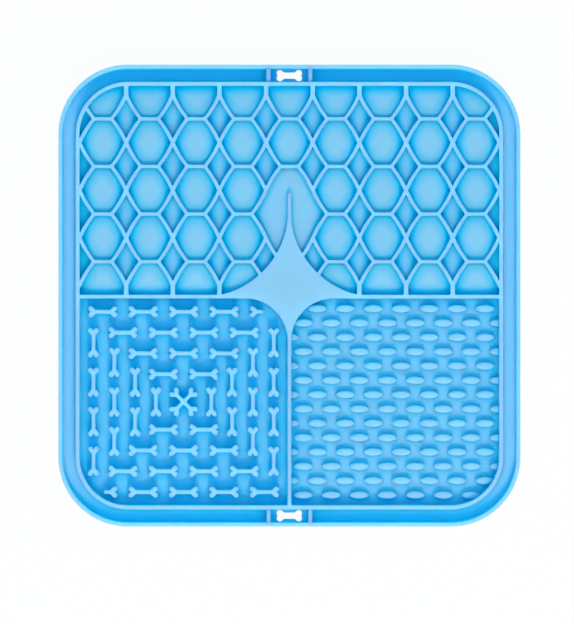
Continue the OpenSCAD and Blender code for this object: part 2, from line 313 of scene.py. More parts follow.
def side_steps(outline: np.ndarray) -> np.ndarray:
    """Steps that move an outline one millimetre to its right.

    A step is the sum of the right-hand normals of the two edges at a point, divided by one plus
    their dot product, which keeps every edge parallel to itself.

    Args:
        outline: the closed outline, one point per row.

    Returns:
        One step per point.
    """
    right = right_of(np.roll(outline, -1, 0) - outline)
    before = np.roll(right, 1, 0)
    spread = 1 + np.sum(before * right, 1, keepdims=True)
    return (before + right) / np.maximum(spread, LEAST_MITRE)


def mirrored(outline: np.ndarray) -> np.ndarray:
    """The outline mirrored from left to right, still running the same way round."""
    return outline[::-1] * np.array([-1.0, 1.0])


def turned(points: np.ndarray, angle: float) -> np.ndarray:
    """Points turned anticlockwise about the origin by an angle in degrees."""
    a = np.radians(angle)
    return points @ np.array([[np.cos(a), np.sin(a)], [-np.sin(a), np.cos(a)]])


def anticlockwise(outline: np.ndarray) -> np.ndarray:
    """The outline run anticlockwise, judged by the sign of its area."""
    after = np.roll(outline, -1, 0)
    area = np.sum(outline[:, 0] * after[:, 1] - after[:, 0] * outline[:, 1])
    return outline if area > 0 else outline[::-1]


def divided(outline: np.ndarray, parts: int) -> np.ndarray:
    """Each edge of the outline cut into equal parts, by straight steps from point to point."""
    shares = np.arange(parts)[None, :, None] / parts
    edges = (np.roll(outline, -1, 0) - outline)[:, None]
    return (outline[:, None] + shares * edges).reshape(-1, 2)


def clipped(outline: np.ndarray, normals: np.ndarray, distances: np.ndarray) -> np.ndarray:
    """Cuts an outline by straight lines and keeps what lies behind them.

    A point's depth past a line is its dot product with the normal, less the line's distance.
    Where the depth changes sign along an edge, the new point divides the edge in the ratio of
    the two depths.

    Args:
        outline: the closed outline.
        normals: one normal per line, pointing to the side that is cut off.
        distances: distance of each line from the origin, along its normal.

    Returns:
        The cut outline.
    """
    for normal, distance in zip(normals, distances):
        depth = outline @ normal - distance
        after = np.roll(outline, -1, 0)
        depth_after = np.roll(depth, -1)
        crossing = (depth > 0) != (depth_after > 0)
        share = depth / np.where(crossing, depth - depth_after, 1)
        cut = outline + share[:, None] * (after - outline)
        outline = np.stack([outline, cut], 1)[np.stack([depth <= 0, crossing], 1)]
    return outline


def softened(outline: np.ndarray, radius: float, arc_points: int = 4) -> np.ndarray:
    """Rounds the corners of an outline.

    Each corner becomes a curve that blends the tangent point before it, the corner itself and
    the tangent point after it with squared weights. Points where the outline hardly turns stay.

    Args:
        outline: the closed outline.
        radius: the corners' radius.
        arc_points: points on each rounded corner.

    Returns:
        The rounded outline.
    """
    gap = np.linalg.norm(np.roll(outline, -1, 0) - outline, axis=1)
    outline = outline[gap > LEAST_GAP]
    edges = np.roll(outline, -1, 0) - outline
    lengths = np.linalg.norm(edges, axis=1)
    after = edges / lengths[:, None]
    before = np.roll(after, 1, 0)
    turn = np.arccos(np.clip(np.sum(after * before, 1), -1, 1))
    room = CORNER_ROOM * np.minimum(lengths, np.roll(lengths, 1))
    reach = np.minimum(radius * np.tan(turn / 2), room)[:, None, None]
    share = np.linspace(0, 1, arc_points)[None, :, None]
    curve = (
        outline[:, None]
        - (1 - share) ** 2 * reach * before[:, None]
        + share**2 * reach * after[:, None]
    )
    sharp = turn > np.radians(SHARP_TURN)
    curve[~sharp, 0] = outline[~sharp]
    keep = np.repeat(sharp[:, None], arc_points, 1)
    keep[:, 0] = True
    return curve[keep]


@dataclass(frozen=True)
class Fade:
    """An amount that sets in while a value goes from one bound to the other."""

    amount: float
    start: float
    end: float

    def at(self, values: np.ndarray) -> np.ndarray:
        """The amount times three squares less two cubes of the share of the way that is gone."""
        share = np.clip((values - self.start) / (self.end - self.start), 0, 1)
        return self.amount * share**2 * (3 - 2 * share)


def rectangle(low_x: float, low_y: float, high_x: float, high_y: float) -> np.ndarray:
    """The four corners of a rectangle."""
    return np.array([[low_x, low_y], [high_x, low_y], [high_x, high_y], [low_x, high_y]])


def grid_quads(rows: int, columns: int, close_rows: bool = False,
               close_columns: bool = True) -> np.ndarray:
    """Quads of a grid of points that is numbered row by row.

    Args:
        rows: number of rows.
        columns: points in each row.
        close_rows: whether the last row joins the first.
        close_columns: whether the last point of a row joins its first.

    Returns:
        Four point numbers per quad.
    """
    numbers = np.arange(rows * columns).reshape(rows, columns)
    row, column = np.meshgrid(
        np.arange(rows if close_rows else rows - 1),
        np.arange(columns if close_columns else columns - 1),
        indexing="ij",
    )
    row_after = (row + 1) % rows
    column_after = (column + 1) % columns
    corners = [numbers[row, column], numbers[row_after, column],
               numbers[row_after, column_after], numbers[row, column_after]]
    return np.stack(corners, -1).reshape(-1, 4)


def fan(tip: int, ring: np.ndarray) -> np.ndarray:
    """Triangles from one point to a closed ring of points."""
    return np.stack([np.full(len(ring), tip), ring, np.roll(ring, -1)], 1)


def lifted(rings: np.ndarray, heights: np.ndarray) -> np.ndarray:
    """Flat rings, each raised to its own height, as one row of points."""
    upright = np.broadcast_to(heights[:, None, None], rings.shape[:2] + (1,))
    return np.concatenate([rings, upright], 2).reshape(-1, 3)


def ring_points(outline: np.ndarray, profile: np.ndarray) -> np.ndarray:
    """An outline carried along a profile.

    Ring k is the outline moved to its right by the profile's k-th offset, at its k-th height.

    Args:
        outline: the closed outline.
        profile: offset and height of each ring.

    Returns:
        The rings' points, ring after ring.
    """
    rings = outline[None] + profile[:, None, :1] * side_steps(outline)[None]
    return lifted(rings, profile[:, 1])


def land_triangles(loops: list[np.ndarray]) -> np.ndarray:
    """Flat triangles inside the first loop and outside the others.

    Args:
        loops: outlines in one plane, the first round all the others.

    Returns:
        Three numbers per triangle, which count the loops' points in order.
    """
    starts = np.cumsum([0] + [len(loop) for loop in loops])
    spans = [np.arange(low, high) for low, high in zip(starts[:-1], starts[1:])]
    rings = [spans[0].tolist()] + [span[::-1].tolist() for span in spans[1:]]
    corners = [Vector(point) for point in np.concatenate(loops).tolist()]
    _, _, faces, origins, _, owners = geometry.delaunay_2d_cdt(corners, [], rings, 1, 1e-6)
    numbers = np.array([origin[0] for origin in origins])
    land = [face for face, owner in zip(faces, owners) if list(owner) == [0]]
    return numbers[np.array(land)]


def slab(outlines: list[np.ndarray], profiles: list[np.ndarray]) -> Shell:
    """A closed body with a flat top and underside, pierced by any number of pockets.

    Args:
        outlines: the outer outline first, then one per pocket, which is run the other way round
            so that its open air is to the right too.
        profiles: the profile of each outline's wall, from the top down.

    Returns:
        The body.
    """
    outlines = outlines[:1] + [pocket[::-1] for pocket in outlines[1:]]
    walls = [
        Shell(ring_points(outline, profile), grid_quads(len(profile), len(outline)))
        for outline, profile in zip(outlines, profiles)
    ]
    body = joined(walls)
    counts = np.array([len(outline) for outline in outlines])
    starts = np.cumsum([0] + [len(wall.points) for wall in walls])
    tops = np.concatenate([low + np.arange(count) for low, count in zip(starts, counts)])
    feet = np.concatenate([
        high - count + np.arange(count) for high, count in zip(starts[1:], counts)
    ])
    land = land_triangles([wall.points[:count, :2] for wall, count in zip(walls, counts)])
    body.caps = np.concatenate([tops[land], feet[land][:, ::-1]])
    return body


def wall_profile(top: float, floor: float, top_round: float, foot_round: float) -> np.ndarray:
    """Profile of a moulded wall, from its flat top to its foot.

    Both curves are quarter circles, one that leaves the top and one that runs out on the floor.
    The last rings dip under the floor, so that the foot has no visible edge.

    Args:
        top: height of the wall's top.
        floor: height of the floor at its foot.
        top_round: radius of the top edge.
        foot_round: radius of the hollow at the foot.

    Returns:
        Offset and height of each ring.
    """
    return np.concatenate([
        [[-top_round - STRIP, top]],
        arc((-top_round, top - top_round), top_round, 90, 0, EDGE_STEPS),
        arc((foot_round, floor + foot_round), foot_round, 180, 270, EDGE_STEPS),
        [[foot_round + TOE, floor - DIP], [foot_round + TOE, floor - SINK]],
    ])


def srgb(code: str) -> tuple[float, float, float, float]:
    """Linear colour of an sRGB hex code.

    A channel at or below 0.04045 is divided by 12.92; above, it is raised by 0.055, divided by
    1.055 and taken to the power 2.4.

    Args:
        code: six hex digits.

    Returns:
        Red, green, blue and full opacity.
    """
    channels = np.array([int(code[k:k + 2], 16) / 255 for k in (0, 2, 4)])
    linear = np.where(channels <= 0.04045, channels / 12.92, ((channels + 0.055) / 1.055) ** 2.4)
    return (*linear.tolist(), 1.0)


def add_node(tree: bpy.types.NodeTree, kind: str, values: dict | None = None,
             links: dict | None = None, **settings: object) -> bpy.types.Node:
    """Adds a node with its settings, socket values and incoming links.

    Args:
        tree: the node tree.
        kind: the node's type.
        values: socket name or number to value.
        links: socket name or number to the output that feeds it.
        settings: the node's own properties.

    Returns:
        The node.
    """
    node = tree.nodes.new(kind)
    for name, value in settings.items():
        setattr(node, name, value)
    for name, value in (values or {}).items():
        node.inputs[name].default_value = value
    for name, source in (links or {}).items():
        tree.links.new(source, node.inputs[name])
    return node


def emptied(holder: bpy.types.Material | bpy.types.World) -> bpy.types.NodeTree:
    """The node tree of a new material or world, with no node in it."""
    holder.use_nodes = True
    holder.node_tree.nodes.clear()
    return holder.node_tree


@dataclass(frozen=True)
class SiliconeFinish:
    """Food-grade silicone, coloured through and pressed in a matt steel mould.

    The eye gets a soft, slightly waxy blue: light soaks in and comes out a little way off, and
    highlights stay broad because the mould was blasted. Recesses get painted shade: a deep blue
    that takes over where little of the surroundings is open. The colour also turns paler with
    height towards the wall tops.
    """

    name: str
    painted_shade_colour: str
    floor_colour: str
    top_colour: str
    roughness: float
    grain_mm: float
    grain_depth_mm: float
    # Openness at which the painted shade is full, and at which it is gone
    full_shade_openness: float = 0.3
    shade_free_openness: float = 0.9
    recess_mm: float = 10.0
    recess_samples: int = 5
    cloud_mm: float = 26.0
    cloud_detail: float = 3.0
    cloud_drift: float = 0.03
    grain_detail: float = 2.0
    grain_strength: float = 0.35
    gloss_drift: float = 0.05
    ior: float = 1.41
    specular: float = 0.12
    scatter_mm: float = 10.0
    scatter_shares: tuple[float, float, float] = (0.03, 0.8, 1.0)

    def material(self, sizes: MatSizes) -> bpy.types.Material:
        """Builds the material.

        The pale colour follows the height in the mat, from floor to wall top. The painted shade
        colour takes over where little of the surroundings is open, and by each point's painted
        shade share.

        Args:
            sizes: the mat's sizes.

        Returns:
            The material.
        """
        made = bpy.data.materials.new(self.name)
        tree = emptied(made)
        place = add_node(tree, "ShaderNodeTexCoord").outputs["Object"]

        def noise(size_mm: float, detail: float) -> bpy.types.NodeSocket:
            """Noise whose spots have a given size."""
            values = {"Scale": 1 / (size_mm * MM), "Detail": detail}
            return add_node(tree, "ShaderNodeTexNoise", values, {"Vector": place}).outputs["Fac"]

        def mapped(source: bpy.types.NodeSocket, values: dict,
                   curve: str = "LINEAR") -> bpy.types.NodeSocket:
            """A value carried from one range to another."""
            node = add_node(tree, "ShaderNodeMapRange", values, {"Value": source},
                            interpolation_type=curve)
            return node.outputs["Result"]

        height = add_node(tree, "ShaderNodeSeparateXYZ", links={0: place}).outputs["Z"]
        raised = mapped(height, {"From Min": sizes.base_top * MM, "From Max": sizes.wall_top * MM},
                        "SMOOTHSTEP")
        pale = add_node(
            tree, "ShaderNodeMix", {6: srgb(self.floor_colour), 7: srgb(self.top_colour)},
            {0: raised}, data_type="RGBA",
        ).outputs[2]
        # Painted shade: ambient occlusion sets how far the painted shade colour takes over
        openness = add_node(
            tree, "ShaderNodeAmbientOcclusion", {"Distance": self.recess_mm * MM},
            samples=self.recess_samples,
        ).outputs["AO"]
        open_share = mapped(
            openness, {"From Min": self.full_shade_openness, "From Max": self.shade_free_openness},
            "SMOOTHSTEP",
        )
        # Each point's share of painted shade; below nought it paints light
        painted_shade = add_node(tree, "ShaderNodeAttribute", attribute_name=SHADE_ATTRIBUTE).outputs["Fac"]
        pale_share = add_node(
            tree, "ShaderNodeMath", {1: -1.0}, {0: painted_shade, 2: open_share}, operation="MULTIPLY_ADD",
        ).outputs[0]
        # Painted shade: the shade colour mixed over the pale colour
        body = add_node(
            tree, "ShaderNodeMix", {6: srgb(self.painted_shade_colour)}, {0: pale_share, 7: pale},
            data_type="RGBA",
        ).outputs[2]
        drift = mapped(noise(self.cloud_mm, self.cloud_detail),
                       {"To Min": 1 - self.cloud_drift, "To Max": 1 + self.cloud_drift})
        colour = add_node(
            tree, "ShaderNodeHueSaturation", links={"Value": drift, "Color": body},
        ).outputs[0]
        grain = noise(self.grain_mm, self.grain_detail)
        bump = add_node(
            tree, "ShaderNodeBump",
            {"Strength": self.grain_strength, "Distance": self.grain_depth_mm * MM},
            {"Height": grain},
        ).outputs["Normal"]
        gloss = mapped(grain, {"To Min": self.roughness - self.gloss_drift,
                               "To Max": self.roughness + self.gloss_drift})
        shader = add_node(
            tree, "ShaderNodeBsdfPrincipled",
            {"IOR": self.ior, "Specular IOR Level": self.specular, "Subsurface Weight": 1.0,
             "Subsurface Radius": self.scatter_shares, "Subsurface Scale": self.scatter_mm * MM},
            {"Base Color": colour, "Roughness": gloss, "Normal": bump},
            subsurface_method="BURLEY",
        )
        add_node(tree, "ShaderNodeOutputMaterial", links={"Surface": shader.outputs[0]})
        return made


# A finish's first colour is the painted shade colour of recesses
MATT_SILICONE = SiliconeFinish(
    "moulded_silicone_matt", "00D2FF", "8ED6FA", "9ED0EA",
    roughness=0.55, grain_mm=0.5, grain_depth_mm=0.012,
)
SMOOTH_SILICONE = SiliconeFinish(
    "moulded_silicone_smooth", "00D2FF", "8ED6FA", "8ED6FA",
    roughness=0.3, grain_mm=0.9, grain_depth_mm=0.004,
)
# On the base sheet, where bones and nubs stand close, the painted shade sets in sooner and goes
# further than on the rest of the matt side
FLOOR_SILICONE = replace(
    MATT_SILICONE, name="moulded_silicone_floor", full_shade_openness=0.4, shade_free_openness=0.95,
)


@dataclass
class Workshop:
    """Turns shells into pieces and keeps the materials that they share."""

    sizes: MatSizes
    materials: dict[str, bpy.types.Material] = field(default_factory=dict)

    def finish(self, finish: SiliconeFinish) -> bpy.types.Material:
        """The material of a finish, made once."""
        if finish.name not in self.materials:
            self.materials[finish.name] = finish.material(self.sizes)
        return self.materials[finish.name]

    def piece(self, name: str, shell: Shell, nodes: list[str],
              finish: SiliconeFinish = MATT_SILICONE) -> None:
        """Makes one piece, puts it on its body and lets it stand for its nodes.

        Args:
            name: the piece's name.
            shell: its points and faces.
            nodes: the nodes that it replaces.
            finish: its finish.
        """
        kinds = [shell.quads, shell.fans, shell.caps]
        counts = [len(kind) for kind in kinds]
        corners = np.concatenate([kind.ravel() for kind in kinds])
        widths = np.repeat([4, 3, 3], counts)
        mesh = bpy.data.meshes.new(name)
        mesh.vertices.add(len(shell.points))
        mesh.vertices.foreach_set("co", (shell.points * MM).astype(np.float32).ravel())
        mesh.loops.add(len(corners))
        mesh.loops.foreach_set("vertex_index", corners.astype(np.int32))
        mesh.polygons.add(len(widths))
        mesh.polygons.foreach_set("loop_start", (np.cumsum(widths) - widths).astype(np.int32))
        mesh.polygons.foreach_set("use_smooth", np.repeat([True, True, False], counts))
        mesh.update(calc_edges=True)
        painted_shade = mesh.attributes.new(SHADE_ATTRIBUTE, "FLOAT", "POINT")
        painted_shade.data.foreach_set("value", shell.painted_shades().astype(np.float32))
        changed = mesh.validate()
        mesh.materials.append(self.finish(finish))
        made = bpy.data.objects.new(name, mesh)
        bpy.context.scene.collection.objects.link(made)
        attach(made, BODY)
        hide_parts(*nodes)
        LOG.info("%s: %d points, %d faces, repaired %s", name, len(shell.points), len(widths),
                 changed)


@dataclass(frozen=True)
class Cell:
    """One cell of the honeycomb: the pocket in the ribs and the floor in the pocket.

    The floor's height and its painted shade are measured from a place, in shares of a reach. The
    floor's edge is the pocket's, except in the bell, where the floor runs on under the star.
    """

    kind: Floor
    row: int
    pocket: np.ndarray
    place: np.ndarray
    reach: np.ndarray
    edge: np.ndarray


@dataclass
class Honeycomb:
    """The cells of the upper field."""

    sizes: MatSizes
    corner_r: float = 0.45
    bell_corner_r: float = 0.5
    bow: float = 0.48
    flare_powers: tuple[float, float] = (3.7, 2.9)
    flare_steps: int = 20
    edge_parts: int = 4
    corner_lines: int = 48

    def bowed(self, outline: np.ndarray) -> np.ndarray:
        """Bends the slanted ribs a little towards the diamonds.

        A point moves in x towards the nearest border, by the bow times the absolute sine of pi
        times its height above the lowest crossing in half row pitches.

        Args:
            outline: the outline of a pocket, with points along its edges.

        Returns:
            The outline with bowed edges.
        """
        s = self.sizes
        low, high = s.crossing_y(0), s.crossing_y(s.rows)
        rise = (np.clip(outline[:, 1], low, high) - low) / s.slant[1]
        nearest = np.round((outline[:, 0] + s.field_half) / s.column_pitch)
        past = outline[:, 0] - (nearest * s.column_pitch - s.field_half)
        shift = -self.bow * np.abs(np.sin(np.pi * rise)) * np.sign(np.round(past, 6))
        return outline + np.stack([shift, np.zeros_like(shift)], 1)

    def flare_lines(self) -> tuple[np.ndarray, np.ndarray]:
        """Upper edge of the star's right half, as lines to cut by.

        The edge follows a power of the cosine across and a power of the sine upwards.

        Returns:
            The lines' normals, which point into the star, and their distances.
        """
        s = self.sizes
        angles = np.radians(np.linspace(90, 0, self.flare_steps + 1))
        across, upwards = self.flare_powers
        shares = np.stack([np.cos(angles) ** across, np.sin(angles) ** upwards], 1)
        flare = np.array([s.star_side, s.divider_up]) + s.star_reach * shares
        normals = right_of(np.diff(flare, axis=0))
        return normals, np.sum(normals * flare[:-1], 1)

    def trimmed(self, outline: np.ndarray) -> np.ndarray:
        """Cuts a pocket at the field's round corners and at the star's flare, then rounds it."""
        s = self.sizes
        angles = np.radians((np.arange(self.corner_lines) + 0.5) * 360 / self.corner_lines)
        normals = np.stack([np.cos(angles), np.sin(angles)], 1)
        middles = s.corner_middle * np.sign(normals)
        outline = clipped(outline, normals, np.sum(normals * middles, 1) + s.field_corner)
        middle_x = outline[:, 0].mean()
        if abs(middle_x) > s.star_side:
            normals, distances = self.flare_lines()
            side = np.array([np.sign(middle_x), 1.0])
            outline = clipped(outline, normals * side, distances)
        return softened(outline, self.corner_r)

    def cell(self, kind: Floor, row: int, corners: list[tuple[float, float]],
             place: tuple[float, float], reach: tuple[float, float]) -> Cell:
        """A cell whose floor has the same outline as its pocket.

        Args:
            kind: the kind of its floor.
            row: its row, counted from 1 in the south.
            corners: its corners, as if its sides were straight.
            place: the point that its floor's shares are measured from.
            reach: the distances in x and y that count as one.

        Returns:
            The cell, with bowed, trimmed and rounded sides.
        """
        outline = divided(anticlockwise(np.array(corners, float)), self.edge_parts)
        pocket = self.trimmed(self.bowed(outline))
        return Cell(kind, row, pocket, np.array(place), np.array(reach), pocket)

    def hexagon(self, column: int, crossing: int) -> Cell:
        """A six-sided cell."""
        s = self.sizes
        x, y, half = s.column_x(column), s.crossing_y(crossing), s.level_half
        reach = s.column_pitch / 2 - s.rib_half[0]
        rise = s.slant[1] - s.rib_t / 2
        corners = [(x - reach, y), (x - half, y - rise), (x + half, y - rise),
                   (x + reach, y), (x + half, y + rise), (x - half, y + rise)]
        return self.cell(Floor.HEXAGON, crossing + 1, corners, (x, y), (reach, rise))

    def half_cell(self, column: int, crossing: int) -> Cell:
        """A cell between two posts, a level rib and the straight wall."""
        s = self.sizes
        up = 1 if crossing == 0 else -1
        x, y, half = s.column_x(column), s.crossing_y(crossing), s.level_half
        edge = s.divider_up if crossing == 0 else s.field_half
        level = y + up * (s.slant[1] - s.rib_t / 2)
        left = s.border_x(column - 1) + s.post_half(column - 1)
        right = s.border_x(column) - s.post_half(column)
        corners = [(x - half, level), (x + half, level), (right, y - up * s.fork_dy(column)),
                   (right, edge), (left, edge), (left, y - up * s.fork_dy(column - 1))]
        return self.cell(Floor.HALF_CELL, crossing + 1, corners, (x, y + up * s.slant[1]),
                         (s.column_pitch / 2, s.post_l + s.slant[1]))

    def diamond(self, border: int, level: int) -> Cell:
        """A four-sided cell, or its inner half at the inner wall."""
        s = self.sizes
        x, y = s.border_x(border), s.level_y(level)
        reach, rise = s.slant - s.rib_half
        corners = [(x, y - rise), (x + reach, y), (x, y + rise), (x - reach, y)]
        corners = [corner for corner in corners if abs(corner[0]) <= s.field_half + 1e-6]
        kind = Floor.HALF_DIAMOND if border in (0, s.columns) else Floor.DIAMOND
        return self.cell(kind, level, corners, (x, y), (reach, rise))

    def bell(self) -> Cell:
        """The bell: a wide hexagon, whose pocket has the star's spike and flare in it.

        The pocket runs from the spike's tip down its right side and round the right lobe, and
        back the same way on the left.

        Returns:
            The cell.
        """
        s = self.sizes
        half, reach = s.level_half, s.column_pitch / 2 + s.slant[0] - s.rib_half[0]
        low = s.level_y(s.bell_row - 1) + s.rib_t / 2
        high = s.level_y(s.bell_row + 1) - s.rib_t / 2
        middle = s.level_y(s.bell_row)
        wide = np.array([(half, low), (reach, middle), (half, high),
                         (-half, high), (-reach, middle), (-half, low)])
        normals, distances = self.flare_lines()
        lobe = clipped(self.bowed(divided(wide, 2 * self.edge_parts)),
                       np.append(normals, [[-1.0, 0.0]], 0), np.append(distances, -s.star_side))
        # The points beside the spike go, and the lobe starts after the gap that they leave
        lobe = lobe[~np.isclose(lobe[:, 0], s.star_side)]
        lobe = np.roll(lobe, -int(np.argmax(np.roll(lobe[:, 1], 1) - lobe[:, 1])), 0)
        spike = [[s.star_side, s.spike_top - s.star_side],
                 [s.star_side, s.divider_up + s.star_reach[1]]]
        right = np.concatenate([spike, lobe])
        pocket = np.concatenate([[[0.0, s.spike_top]], right, mirrored(right)])
        return Cell(
            Floor.BELL, 0, softened(pocket, self.bell_corner_r), np.array([0.0, middle]),
            np.array([s.column_pitch / 2 + s.slant[0], s.row_pitch]),
            softened(divided(wide, 3 * self.edge_parts), self.bell_corner_r),
        )

    def cells(self) -> list[Cell]:
        """All cells: rows of hexagons and half cells, rows of diamonds, and the bell."""
        s = self.sizes
        middle = (s.columns + 1) // 2
        found = []
        for crossing in range(s.rows + 1):
            shape = self.half_cell if crossing in (0, s.rows) else self.hexagon
            found += [shape(column, crossing) for column in range(1, s.columns + 1)
                      if column != middle or crossing > s.bell_row]
        for level in range(1, s.rows + 1):
            found += [self.diamond(border, level) for border in range(s.columns + 1)
                      if level != s.bell_row or abs(2 * border - s.columns) != 1]
        return found + [self.bell()]


@dataclass
class WallLattice:
    """Inner wall, dividers, star and honeycomb ribs: one flat-topped lattice with 83 pockets."""

    sizes: MatSizes
    cells: list[Cell]
    corner_r: float = 0.45
    hollow_steps: int = 26
    top_round: float = 0.2
    foot_round: float = 0.3

    def lower_field(self, side: Side) -> np.ndarray:
        """The pocket of a lower field: straight walls, the mat's corner, the star's hollow."""
        s = self.sizes
        hollow = (s.star_side + s.star_hollow_r, s.divider_down - s.star_hollow_r)
        outline = softened(np.concatenate([
            [[s.star_side, -s.field_half]],
            arc((s.corner_middle, -s.corner_middle), s.field_corner, -90, 0, CORNER_STEPS),
            [[s.field_half, s.divider_down]],
            arc(hollow, s.star_hollow_r, 90, 180, self.hollow_steps),
        ]), self.corner_r)
        return outline if side is Side.RIGHT else mirrored(outline)

    def build(self, shop: Workshop) -> None:
        """Makes the lattice as one closed piece."""
        s = self.sizes
        outlines = [s.outline(s.channel_inset)]
        outlines += [self.lower_field(side) for side in Side]
        outlines += [cell.pocket for cell in self.cells]
        wall = wall_profile(s.wall_top, s.base_top, self.top_round, self.foot_round)
        ribs = [f"cell_ribs_{name}" for name in (
            "level", "posts", "rising_right", "rising_left", "falling_right", "falling_left")]
        walls = ["inner_wall", "divider_left", "divider_right", "divider_lower", "star_pad"]
        shop.piece("wall_lattice", slab(outlines, [wall] * len(outlines)), walls + ribs)


@dataclass
class CellFloors:
    """The crowned floors of the honeycomb: pillows, ridges and the bell's dome.

    A height is that of a crown's middle above the base sheet, and a fall or rise is how much
    lower or higher its edge is. The shade amounts are shares of painted shade, which darkens the
    floors near the walls, in the corners and beside the crests.
    """

    cells: list[Cell]
    base_top: float
    pillow_h: float = 3.6
    pillow_fall: Fade = Fade(0.6, 0.4, 1.2)
    corner_fall: float = 1.8
    half_end_fall: float = 1.4
    half_side_fall: float = 1.7
    ridge_h: float = 2.4
    ridge_fall: float = 1.35
    ridge_rise: float = 0.4
    half_ridge_h: float = 1.9
    half_ridge_fall: float = 0.3
    dome_h: float = 2.9
    dome_fall: float = 1.5
    dome_rise: float = 0.5
    least_h: float = 0.3
    # Amounts of painted shade in the floors
    pillow_shade: float = 0.1
    near_wall_shade: Fade = Fade(0.36, 5.6, 2.2)
    at_wall_shade: Fade = Fade(0.2, 1.4, 0.0)
    at_wall_middle: Fade = Fade(1.0, 1.0, 0.5)
    half_end_shade: Fade = Fade(0.3, 0.74, 0.95)
    ridge_shade: float = 0.14
    ridge_side_shade: Fade = Fade(0.38, 0.1, 0.8)
    half_ridge_shade: float = 0.75
    dome_wall_shade: Fade = Fade(0.3, 2.8, 0.0)
    dome_north: Fade = Fade(1.0, 0.6, 0.1)
    dome_side_shade: Fade = Fade(0.4, 0.6, 0.95)
    into_wall: float = 0.3
    rings: int = 12
    wall_parts: int = 6

    def crown(self, kind: Floor, east: np.ndarray, north: np.ndarray) -> np.ndarray:
        """Height of a floor above the base sheet.

        A pillow falls as it fades from its middle, and past half of the way to a side corner by
        the 1.6th power of the rest. A half cell falls by the cube of the share across and the
        2.5th power of the share from its level rib. A ridge falls by the 1.3th power of the
        share across and rises by the square of the share along its crest. A half diamond falls
        by the square of the share along the wall. The bell falls by the square of the share
        across and rises by the cube of the share to the south.

        Args:
            kind: the kind of floor.
            east: distance from the cell's place in x, as a share of its reach.
            north: the same in y.

        Returns:
            The heights.
        """
        across, upright = np.abs(east), np.abs(north)
        if kind is Floor.HEXAGON:
            corner = np.clip(2 * across - 1, 0, None)
            fall = self.pillow_fall.at(np.hypot(across, upright)) + self.corner_fall * corner**1.6
            height = self.pillow_h - fall
        elif kind is Floor.HALF_CELL:
            fall = self.half_side_fall * across**3 + self.half_end_fall * upright**2.5
            height = self.pillow_h - fall
        elif kind is Floor.DIAMOND:
            height = self.ridge_h - self.ridge_fall * across**1.3 + self.ridge_rise * upright**2
        elif kind is Floor.HALF_DIAMOND:
            height = self.half_ridge_h - self.half_ridge_fall * upright**2
        else:
            rise = self.dome_rise * np.clip(-north, 0, 1) ** 3
            height = self.dome_h - self.dome_fall * across**2 + rise
        return np.maximum(height, self.least_h)

    def painted_shade(self, kind: Floor, gap: np.ndarray, east: np.ndarray,
            north: np.ndarray) -> np.ndarray:
        """Share of painted shade, which darkens a floor where walls hem it in.

        In a hexagon or half cell it grows as the walls come near, most of all beside the middle
        of its height, and in a half cell also towards the straight wall. In a diamond it grows
        to both sides of the crest. In the bell it grows to both sides, and near the walls in its
        northern part.

        Args:
            kind: the kind of floor.
            gap: distance to the nearest wall.
            east: distance from the cell's place in x, as a share of its reach.
            north: the same in y.

        Returns:
            The shares.
        """
        across, upright = np.abs(east), np.abs(north)
        if kind is Floor.DIAMOND:
            return self.ridge_shade + self.ridge_side_shade.at(across)
        if kind is Floor.HALF_DIAMOND:
            return np.full_like(gap, self.half_ridge_shade)
        if kind is Floor.BELL:
            near_wall = self.dome_wall_shade.at(gap) * self.dome_north.at(-north)
            return near_wall + self.dome_side_shade.at(across)
        near_wall = self.near_wall_shade.at(gap)
        near_wall = near_wall + self.at_wall_shade.at(gap) * self.at_wall_middle.at(upright)
        end = self.half_end_shade.at(upright) if kind is Floor.HALF_CELL else 0.0
        return self.pillow_shade + near_wall + end

    def patch(self, cell: Cell) -> Shell:
        """One closed floor on a polar grid.

        A ring is the edge drawn in towards its mean point by the sine of its share of a right
        angle. One more ring makes the side, and a fan closes the underside.

        Args:
            cell: the cell.

        Returns:
            The floor.
        """
        edge = cell.edge + self.into_wall * side_steps(cell.edge)
        middle = edge.mean(0)
        count = len(edge)
        shares = np.sin(np.linspace(0, np.pi / 2, self.rings + 1))
        flat = middle + shares[:, None, None] * (edge - middle)
        east, north = np.moveaxis((flat - cell.place) / cell.reach, 2, 0)
        height = self.base_top + self.crown(cell.kind, east, north)
        walls = divided(cell.pocket, self.wall_parts)
        gap = np.linalg.norm(flat[..., None, :] - walls, axis=-1).min(-1)
        painted_shade = self.painted_shade(cell.kind, gap, east, north)
        top = np.concatenate([flat, height[..., None]], 2)
        side = np.insert(edge, 2, self.base_top - SINK, 1)
        foot = [[*middle, self.base_top - SINK]]
        points = np.concatenate([top[0, :1], top[1:].reshape(-1, 3), side, foot])
        painted_shades = np.concatenate([painted_shade[0, :1], painted_shade[1:].ravel(), painted_shade[-1], [1.0]])
        first = 1 + np.arange(count)
        last = first + self.rings * count
        fans = np.concatenate([fan(0, first), fan(len(points) - 1, last[::-1])])
        return Shell(points, grid_quads(self.rings + 1, count) + 1, fans, painted_shade=painted_shades)

    def build(self, shop: Workshop) -> None:
        """Makes the floors, one piece per row."""
        rows = {}
        for cell in self.cells:
            names = tuple(name.format(cell.row) for name in FLOOR_NAMES[cell.kind])
            rows.setdefault(names, []).append(self.patch(cell))
        for (name, node), floors in rows.items():
            shop.piece(name, joined(floors), [node])


